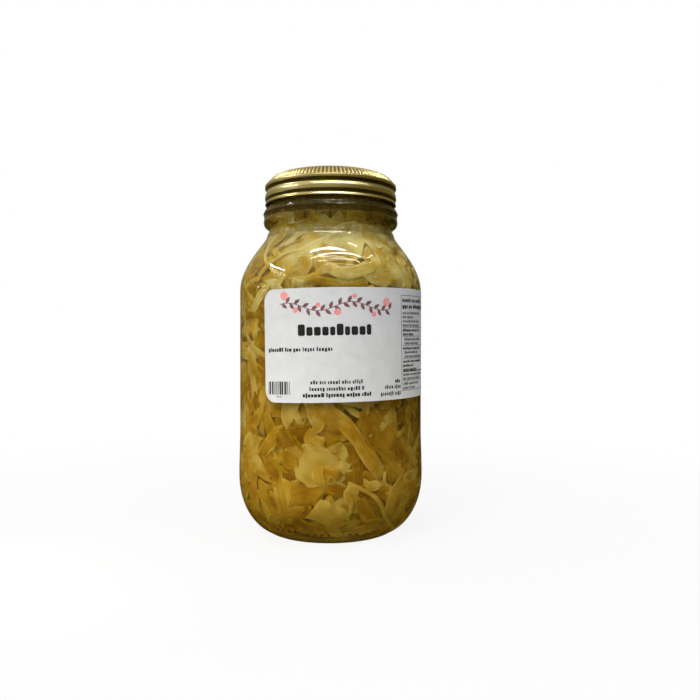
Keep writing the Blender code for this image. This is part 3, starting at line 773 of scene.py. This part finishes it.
def label_mesh():
    """The paper, bent round the glass, with its thickness and its round corners."""
    corner = [label_corner * (1.0 - math.cos(0.5 * math.pi * k / 12)) for k in range(12)]
    middle = np.linspace(label_corner, label_width - label_corner, 90).tolist()
    columns = corner + middle + [label_width - c for c in reversed(corner)]
    rows = 24
    verts, faces = [], []
    for radius in (label_back_radius, label_face_radius):
        for along in columns:
            inset = min(along, label_width - along, label_corner)
            drop = label_corner - math.sqrt(max(label_corner**2 - (label_corner - inset) ** 2, 0.0))
            half = 0.5 * label_height - drop
            verts += [on_label(along, half * (2.0 * k / rows - 1.0), radius) for k in range(rows + 1)]
    tall, layer = rows + 1, len(columns) * (rows + 1)
    for c in range(len(columns) - 1):
        for k in range(rows):
            a, b = c * tall + k, (c + 1) * tall + k
            faces.append((a, a + 1, b + 1, b))
            faces.append((layer + a, layer + b, layer + b + 1, layer + a + 1))
        for k in (0, rows):
            a, b = c * tall + k, (c + 1) * tall + k
            faces.append((a, b, layer + b, layer + a) if k == 0 else (a, layer + a, layer + b, b))
    for c in (0, len(columns) - 1):
        for k in range(rows):
            a = c * tall + k
            if c == 0:
                faces.append((a, layer + a, layer + a + 1, a + 1))
            else:
                faces.append((a, a + 1, layer + a + 1, layer + a))
    mesh = new_mesh("label_paper", verts, faces)
    mesh.set_sharp_from_angle(angle=math.radians(50.0))
    return mesh


def coated_paper():
    """White paper with a faint mottle and a matt coat."""
    finish, tree, shader = start_finish("coated_paper", Roughness=0.55, Specular_IOR_Level=0.25)
    cloud = grain(tree, 160.0, 4.0, 0.6)
    colour = tint(tree, cloud, [(0.3, (0.560, 0.582, 0.645)), (0.7, (0.628, 0.650, 0.716))])
    set_sockets(tree, shader, Base_Color=colour)
    relief(tree, shader, grain(tree, 900.0, 3.0, 0.6), 0.12, 0.00005)
    return finish


place("label_paper", label_mesh(), coated_paper(), "label_paper", "paper_label")


# Print on the label.
# Flat printed marks, all plain and meaning nothing: rows of blocks where small print would be, a ruled
# table of them, upright bars, and a garland of plum leaves and pink blossoms across the top.
ink_radius = label_face_radius + 0.00001
ink_thickness = 0.00002
ink_step = 0.0012
heading_left, heading_bottom, heading_height = 0.0197, 0.0046, 0.0056
heading_corner, heading_gap, heading_unit = 0.0009, 0.00072, 0.001
heading_blocks = ((3.6, 1.0), (3.1, 0.76), (3.3, 0.76), (3.1, 0.76), (2.5, 0.76))
heading_blocks += ((3.3, 1.0), (2.5, 0.76), (3.3, 0.76), (3.1, 0.76), (2.4, 0.92))
small_print = ((0.0026, 0.0208, -0.0029, -0.0009, True), (0.0220, 0.0366, -0.0029, -0.0009, False))
small_print += ((0.0256, 0.0515, -0.0190, -0.0171, False), (0.0250, 0.0523, -0.0222, -0.0203, False))
small_print += ((0.0216, 0.0558, -0.0253, -0.0233, True), (0.0706, 0.0746, -0.0196, -0.0178, True))
small_print += ((0.0637, 0.0746, -0.0224, -0.0205, False), (0.0613, 0.0746, -0.0257, -0.0238, False))
bars_left, bars_right, bars_bottom, bars_top = 0.0022, 0.0152, -0.0240, -0.0176


def ink_ribbon(verts, faces, pairs):
    """A thin closed printed patch between two edges, given as pairs of (along, up) points."""
    base, lift = len(verts), 2 * len(pairs)
    for radius in (ink_radius, ink_radius + ink_thickness):
        for right, left in pairs:
            verts += [on_label(*right, radius), on_label(*left, radius)]
    for k in range(len(pairs) - 1):
        low, high, low_after, high_after = (base + 2 * k + j for j in range(4))
        faces.append((low, high, high_after, low_after))
        faces.append((low + lift, low_after + lift, high_after + lift, high + lift))
        faces.append((low, low_after, low_after + lift, low + lift))
        faces.append((high, high + lift, high_after + lift, high_after))
    last = base + lift - 2
    faces.append((base, base + lift, base + lift + 1, base + 1))
    faces.append((last, last + 1, last + lift + 1, last + lift))


def ink_block(verts, faces, left, right, low, high, corner=0.0):
    """An upright printed block, its corners rounded where it is large."""
    parts = max(1, math.ceil((right - left) / ink_step))
    stops = [left + (right - left) * k / parts for k in range(parts + 1)]
    if corner:
        turns = [corner * (1.0 - math.cos(0.5 * math.pi * k / 5)) for k in range(6)]
        stops = sorted([left + t for t in turns] + [right - t for t in turns] + stops[1:-1])
    pairs = []
    for along in stops:
        inset = min(along - left, right - along, corner)
        drop = corner - math.sqrt(max(corner**2 - (corner - inset) ** 2, 0.0))
        drop = min(drop, 0.49 * (high - low))
        pairs.append(((along, low + drop), (along, high - drop)))
    ink_ribbon(verts, faces, pairs)


def ink_line(verts, faces, rng, left, right, low, high, heavy):
    """A line of small print: words of plain blocks of uneven width and height."""
    tall = high - low
    pen = left
    word = rng.randint(3, 8)
    while pen < right - 0.2 * tall:
        wide = min(tall * rng.uniform(0.30, 0.62) * (1.2 if heavy else 0.9), right - pen)
        reach = rng.choice((0.72, 0.72, 0.78, 1.0))
        drop = rng.choice((0.0, 0.0, 0.0, 0.0, 0.2)) * tall
        ink_block(verts, faces, pen, pen + wide, low - drop, low + reach * tall)
        word -= 1
        pen += wide + tall * (0.15 if heavy else 0.22)
        if word == 0:
            pen += 0.35 * tall
            word = rng.randint(3, 8)


def printed_ink(name, dark, light):
    """Printer's ink, a little uneven where it sank into the paper."""
    finish, tree, shader = start_finish(name, Roughness=0.5, Specular_IOR_Level=0.25)
    colour = tint(tree, grain(tree, 500.0, 3.0), [(0.35, dark), (0.65, light)])
    set_sockets(tree, shader, Base_Color=colour)
    return finish


def black_print():
    """The heading's large blocks, the lines of small print and the upright bars."""
    rng = random.Random(5)
    verts, faces = [], []
    pen = heading_left
    for wide, reach in heading_blocks:
        top = heading_bottom + heading_height * reach
        ink_block(verts, faces, pen, pen + heading_unit * wide, heading_bottom, top, heading_corner)
        pen += heading_unit * wide + heading_gap
    for left, right, low, high, heavy in small_print:
        ink_line(verts, faces, rng, left, right, low, high, heavy)
    pen = bars_left
    while pen < bars_right:
        wide = rng.choice((0.00025, 0.0003, 0.0005, 0.0009))
        ink_block(verts, faces, pen, pen + wide, bars_bottom, bars_top)
        pen += wide + rng.choice((0.0003, 0.00045, 0.0007))
    ink_line(verts, faces, rng, 0.0073, 0.0101, -0.0252, -0.0246, False)
    return new_mesh("label_black_print", verts, faces, smooth=False)


def table_print():
    """A ruled table of small blocks at the label's right end."""
    rng = random.Random(9)
    verts, faces = [], []
    left, right, low, high, rule = 0.0757, 0.1150, -0.0240, 0.0245, 0.00024
    for edges in (
        (left, right, high - rule, high),
        (left, right, low, low + rule),
        (left, left + rule, low + rule, high - rule),
        (right - rule, right, low + rule, high - rule),
    ):
        ink_block(verts, faces, *edges)
    inner = left + 0.0012
    ink_line(verts, faces, rng, inner, right - 0.0120, 0.0210, 0.0231, True)
    ink_line(verts, faces, rng, inner, right - 0.0100, 0.0179, 0.0200, True)
    up = 0.0162
    for row in range(18):
        heavy = row in (4, 5, 8, 11, 12, 13)
        indent = 0.0014 if row in (6, 7, 9, 10) else 0.0
        end = inner + rng.uniform(0.010, 0.024)
        ink_line(verts, faces, rng, inner + indent, end, up - 0.0013, up, heavy)
        ink_line(verts, faces, rng, right - 0.0062, right - 0.0014, up - 0.0013, up, False)
        up -= 0.0021
        if row in (3, 5, 7, 10, 13, 15):
            thick = 0.0005 if row == 13 else 0.0002
            ink_block(verts, faces, inner, right - 0.0012, up + 0.00025, up + 0.00025 + thick)
            up -= 0.0004
    return new_mesh("label_table_print", verts, faces, smooth=False)


garland_start, garland_end, garland_leaves = 0.0100, 0.0680, 26
stem_half_width = 0.00020
leaf_length, leaf_half_width = 0.0036, 0.00085
blossoms = ((0.0125, 1, 0.0021), (0.0185, -1, 0.0013), (0.0300, 1, 0.0012), (0.0395, -1, 0.0017))
blossoms += ((0.0480, 1, 0.0012), (0.0580, -1, 0.0013), (0.0655, 1, 0.0021))


def garland_height(along):
    """How high the garland's stem runs at a distance along the label."""
    return 0.0188 + 0.0021 * math.sin((along - 0.0385) / 0.0052)


def stem_and_leaves():
    """The garland's wavy stem, with leaves on its two sides by turns."""
    verts, faces, stem = [], [], []
    for k in range(121):
        along = garland_start + (garland_end - garland_start) * k / 120
        up = garland_height(along)
        stem.append(((along, up - stem_half_width), (along, up + stem_half_width)))
    ink_ribbon(verts, faces, stem)
    for k in range(garland_leaves):
        along = garland_start + (garland_end - garland_start) * (k + 0.5) / garland_leaves
        slope = math.atan2(garland_height(along + 0.0005) - garland_height(along - 0.0005), 0.001)
        angle = slope + (0.85 if k % 2 else -0.85)
        ahead = np.array([math.cos(angle), math.sin(angle)])
        aside = np.array([-math.sin(angle), math.cos(angle)])
        pairs = []
        for j in range(11):
            reach = stem_half_width + leaf_length * j / 10
            half = 0.00004 + leaf_half_width * math.sin(math.pi * (j / 10) ** 0.8)
            spot = np.array([along, garland_height(along)]) + ahead * reach
            pairs.append((spot - aside * half, spot + aside * half))
        ink_ribbon(verts, faces, pairs)
    return new_mesh("label_garland_leaves", verts, faces, smooth=False)


def blossom_print():
    """Round blossoms with a slightly scalloped edge."""
    verts, faces = [], []
    for along, side, size in blossoms:
        up = garland_height(along) + side * (size + 0.0016)
        pairs = []
        for j in range(25):
            turn = math.pi * j / 24
            half = max(size * math.sin(turn) * (1.0 + 0.10 * math.cos(9.0 * turn)), 0.00004)
            spot = along - size * math.cos(turn)
            pairs.append(((spot, up - half), (spot, up + half)))
        ink_ribbon(verts, faces, pairs)
    return new_mesh("label_garland_blossoms", verts, faces, smooth=False)


black_ink = printed_ink("black_ink", (0.010, 0.010, 0.012), (0.022, 0.022, 0.026))
plum_ink = printed_ink("plum_ink", (0.15, 0.06, 0.075), (0.22, 0.10, 0.115))
pink_ink = printed_ink("pink_ink", (0.68, 0.26, 0.28), (0.78, 0.34, 0.36))
place("label_black_print", black_print(), black_ink, "label_paper")
place("label_table_print", table_print(), black_ink, "label_paper")
place("label_garland_leaves", stem_and_leaves(), plum_ink, "label_paper")
place("label_garland_blossoms", blossom_print(), pink_ink, "label_paper")


# Foot marks.
# Small bosses pressed into the glass with the jar: a ring of fine stipples round the foot that keeps it
# from sticking to the belt, and short rows of round dots low on the heel.
heel_dots = ((-30.0, 4, 0.0076), (-4.5, 3, 0.0064), (17.2, 2, 0.0065))
heel_dot_pitch = math.radians(4.8)
heel_dot_radius = 0.00072
stipples = 150
stipple_ring, stipple_height, stipple_radius = 0.0341, 0.00105, 0.00042


def boss(shape, centre, out, radius, sink):
    """A low round boss on the glass."""
    before = set(shape.verts)
    bmesh.ops.create_uvsphere(shape, u_segments=12, v_segments=8, radius=radius)
    for vert in [v for v in shape.verts if v not in before]:
        spot = np.array(vert.co)
        spot = spot - (1.0 - sink) * out * float(spot @ out)
        vert.co = spot + centre


def foot_marks_mesh():
    """The rows of dots, set on the heel where it has their height, and the ring of stipples."""
    shape = bmesh.new()
    heel = [point for point in glass_outside() if point[0] > foot_outer_radius and point[1] < 0.030]
    heel = np.array(heel)
    for row_degrees, count, height in heel_dots:
        for k in range(count):
            turn = math.radians(row_degrees) + heel_dot_pitch * (k - 0.5 * (count - 1))
            reach = float(np.interp(height, heel[:, 1], heel[:, 0]))
            centre = np.array([reach * math.sin(turn), -reach * math.cos(turn), height])
            out = np.array([0.65 * math.sin(turn), -0.65 * math.cos(turn), -0.76])
            boss(shape, centre, out, heel_dot_radius, 0.8)
    for k in range(stipples):
        turn = 2.0 * math.pi * k / stipples
        out = np.array([math.sin(turn), -math.cos(turn), 0.0])
        boss(shape, out * stipple_ring + np.array([0.0, 0.0, stipple_height]), out, stipple_radius, 0.6)
    shape.verts.index_update()
    verts = [tuple(vert.co) for vert in shape.verts]
    faces = sorted(tuple(vert.index for vert in face.verts) for face in shape.faces)
    shape.free()
    return new_mesh("foot_marks", verts, faces)


def painted_dark_glass():
    """Glass marks painted near black, painted shade for the dark that they show against what is inside, with
    a rough gloss.
    """
    finish, tree, shader = start_finish("painted_dark_glass", Roughness=0.35, Specular_IOR_Level=0.1)
    colour = tint(tree, grain(tree, 700.0), [(0.35, (0.006, 0.005, 0.001)), (0.65, (0.060, 0.048, 0.012))])
    set_sockets(tree, shader, Base_Color=colour)
    return finish


place("foot_marks", foot_marks_mesh(), painted_dark_glass(), "clear_glass")


# Floor, lamps and camera.
# A plain pale table, soft lamps from the left and above, light thrown back by the table, rows of tubes
# overhead that give the glass its streaks, and the camera straight in front, level with the jar's middle.
table_glow = 0.88
table_shade = 0.14
tubes_aim_height = 0.145


def seen_in_gloss(tree):
    """1 where the camera sees something by a mirror or through glass, 0 for everything else."""
    path = tree.nodes.new("ShaderNodeLightPath")
    mirrored = combine(tree, "MAXIMUM", path.outputs["Is Glossy Ray"], path.outputs["Is Transmission Ray"])
    straight = combine(tree, "LESS_THAN", path.outputs["Diffuse Depth"], 0.5)
    return path, combine(tree, "MULTIPLY", mirrored, straight)


def pale_table():
    """White card whose far edge melts into the backdrop; only its soft shadows show."""
    finish, tree, shader = start_finish("pale_table", Roughness=0.8, Specular_IOR_Level=0.0)
    length = add_node(tree, "ShaderNodeVectorMath", Vector=own_place(tree))
    length.operation = "LENGTH"
    path, in_gloss = seen_in_gloss(tree)
    tones = [(0.0, (0.80, 0.80, 0.79)), (1.0, (table_shade, table_shade, table_shade))]
    set_sockets(tree, shader, Base_Color=tint(tree, path.outputs["Is Camera Ray"], tones))
    fade = spread(tree, length.outputs["Value"], 0.05, 0.42, 0.0, 1.0)
    fade = combine(tree, "MULTIPLY", fade, path.outputs["Is Camera Ray"])
    fade = combine(tree, "MAXIMUM", fade, in_gloss)
    strength = spread(tree, path.outputs["Is Camera Ray"], 0.0, 1.0, 0.0, table_glow)
    glow = add_node(tree, "ShaderNodeEmission", Color=(1.0, 1.0, 1.0, 1.0), Strength=strength)
    lit = tree.nodes.new("ShaderNodeAddShader")
    tree.links.new(shader.outputs["BSDF"], lit.inputs[0])
    tree.links.new(glow.outputs["Emission"], lit.inputs[1])
    clear = tree.nodes.new("ShaderNodeBsdfTransparent")
    cover(tree, blend_shaders(tree, fade, lit.outputs["Shader"], clear.outputs["BSDF"]))
    return finish


table_mesh = bpy.data.meshes.new("table")
table_shape = bmesh.new()
bmesh.ops.create_circle(table_shape, cap_ends=True, segments=96, radius=1.2)
table_shape.to_mesh(table_mesh)
table_shape.free()
table_mesh.materials.append(pale_table())
table = new_object("table", table_mesh)
table.location.z = -0.0002


def area_light(name, length, width, watts):
    """A flat rectangular light."""
    data = bpy.data.lights.new(name, "AREA")
    data.shape = "RECTANGLE"
    data.size, data.size_y = length, width
    data.energy = watts
    return new_object(name, data)


def soft_lamp(name, spot, aim, size, watts, tone):
    """A lamp that looks at a point, and is itself never seen, mirrored or shown through glass."""
    obj = area_light(name, *size, watts)
    obj.data.color = tone
    obj.location = spot
    direction = np.array(aim, float) - np.array(spot, float)
    yaw = math.atan2(-direction[0], direction[1])
    flat = math.hypot(direction[0], direction[1])
    obj.rotation_euler = (math.atan2(flat, -direction[2]), 0.0, yaw)
    obj.visible_camera = False
    obj.visible_glossy = False
    obj.visible_transmission = False


for lamp in (
    ("soft_front", (-0.34, -0.80, 0.80), (0.0, 0.0, 0.10), (0.6, 0.6), 5.6, (1.0, 0.99, 0.98)),
    ("soft_top", (-0.10, -0.20, 1.05), (0.0, 0.0, 0.10), (0.4, 0.4), 0.9, (1.0, 1.0, 1.0)),
    ("bounce", (-0.12, -0.10, 0.0003), (-0.12, -0.10, 1.0), (0.55, 0.55), 1.20, (1.0, 0.91, 0.66)),
    ("heel_bounce", (-0.147, -0.102, 0.016), (0.0, 0.0, 0.014), (0.12, 0.03), 0.046, (1.0, 0.92, 0.72)),
):
    soft_lamp(*lamp)


def tube(name, start, end, width, glare):
    """A narrow light between two points, turned to the jar. It only shows as a streak, as bright as glare."""
    start, end = np.array(start, float), np.array(end, float)
    length = float(np.linalg.norm(end - start))
    obj = area_light(name, length, width, glare * math.pi * length * width)
    obj.visible_diffuse = False
    middle = 0.5 * (start + end)
    run = (end - start) / length
    away = middle - np.array((0.0, 0.0, tubes_aim_height))
    away = away - run * float(away @ run)
    away /= np.linalg.norm(away)
    aside = np.cross(away, run)
    rows = [[run[k], aside[k], away[k], middle[k]] for k in range(3)]
    obj.matrix_world = Matrix(rows + [[0.0, 0.0, 0.0, 1.0]])


for light in (
    ("tube_back", (-0.281, -0.238, 0.945), (0.205, -0.238, 0.945), 0.030, 28.0),
    ("tube_middle", (-0.176, -0.345, 0.945), (0.457, -0.250, 0.945), 0.026, 26.0),
    ("tube_front", (-0.079, -0.468, 0.945), (0.476, -0.376, 0.945), 0.013, 12.0),
    ("tube_left", (-1.059, 0.196, 0.945), (-1.032, -0.476, 0.945), 0.028, 44.0),
    ("tube_left_low", (-1.188, 0.044, 0.945), (-1.215, -0.500, 0.945), 0.012, 26.0),
    ("tube_right_high", (0.240, -0.119, 0.945), (0.360, -0.086, 0.945), 0.010, 24.0),
    ("tube_right", (0.555, -0.229, 0.945), (0.613, -0.033, 0.945), 0.008, 24.0),
    ("window_left", (-0.918, 0.132, 0.232), (-0.929, -0.055, 0.232), 0.006, 30.0),
):
    tube(*light)

world = bpy.data.worlds.new("studio")
world.use_nodes = True
bpy.context.scene.world = world
sky = world.node_tree
backdrop = sky.nodes["Background"]
backdrop.inputs["Color"].default_value = (0.27, 0.27, 0.27, 1.0)
ray = sky.nodes.new("ShaderNodeTexCoord")
ray_parts = add_node(sky, "ShaderNodeSeparateXYZ", Vector=ray.outputs["Generated"])
up_down = spread(sky, ray_parts.outputs["Z"], -1.0, 1.0, 0.0, 1.0)
gloss_sky = [(0.36, (0.026, 0.020, 0.004)), (0.50, (0.075, 0.062, 0.024)), (0.58, (0.22, 0.205, 0.13))]
gloss_sky += [(0.68, (0.30, 0.285, 0.20)), (0.80, (0.42, 0.405, 0.31)), (0.93, (0.56, 0.55, 0.46))]
sideways = spread(sky, ray_parts.outputs["X"], -1.0, 1.0, 0.0, 1.0)
side_tones = [(0.0, (0.95, 0.92, 0.84)), (0.5, (1.0, 1.0, 1.0))]
side_tones += [(0.80, (0.46, 0.41, 0.24)), (1.0, (0.36, 0.30, 0.12))]
sky_tones = mix_colours(sky, "MULTIPLY", 1.0, tint(sky, up_down, gloss_sky), tint(sky, sideways, side_tones))
room = add_node(sky, "ShaderNodeBackground", Color=sky_tones)
through_glass = add_node(sky, "ShaderNodeBackground", Color=(0.080, 0.062, 0.018, 1.0))
paper_white = add_node(sky, "ShaderNodeBackground", Color=(1.0, 1.0, 1.0, 1.0))
path, in_gloss = seen_in_gloss(sky)
by_glass = path.outputs["Is Transmission Ray"]
mirrored = blend_shaders(sky, by_glass, room.outputs["Background"], through_glass.outputs["Background"])
unseen_sky = blend_shaders(sky, in_gloss, backdrop.outputs["Background"], mirrored)
whole_sky = blend_shaders(sky, path.outputs["Is Camera Ray"], unseen_sky, paper_white.outputs["Background"])
sky.links.new(whole_sky, sky.nodes["World Output"].inputs["Surface"])
bpy.context.scene.view_settings.view_transform = "Standard"
bpy.context.scene.cycles.transparent_max_bounces = 24

camera_distance = 0.407
camera_height = 0.1003
jar_off_centre = 0.0106
focal_pixels = 738.0
photo_pixels = 700.0
horizon_below_centre = 4.0
camera_data = bpy.data.cameras.new("camera")
camera_data.sensor_fit = "HORIZONTAL"
camera_data.sensor_width = 36.0
camera_data.lens = 36.0 * focal_pixels / photo_pixels
camera_data.clip_start = 0.01
camera = new_object("camera", camera_data)
camera.location = (jar_off_centre, -camera_distance, camera_height)
camera.rotation_euler = (0.5 * math.pi - math.atan(horizon_below_centre / focal_pixels), 0.0, 0.0)
bpy.context.scene.camera = camera
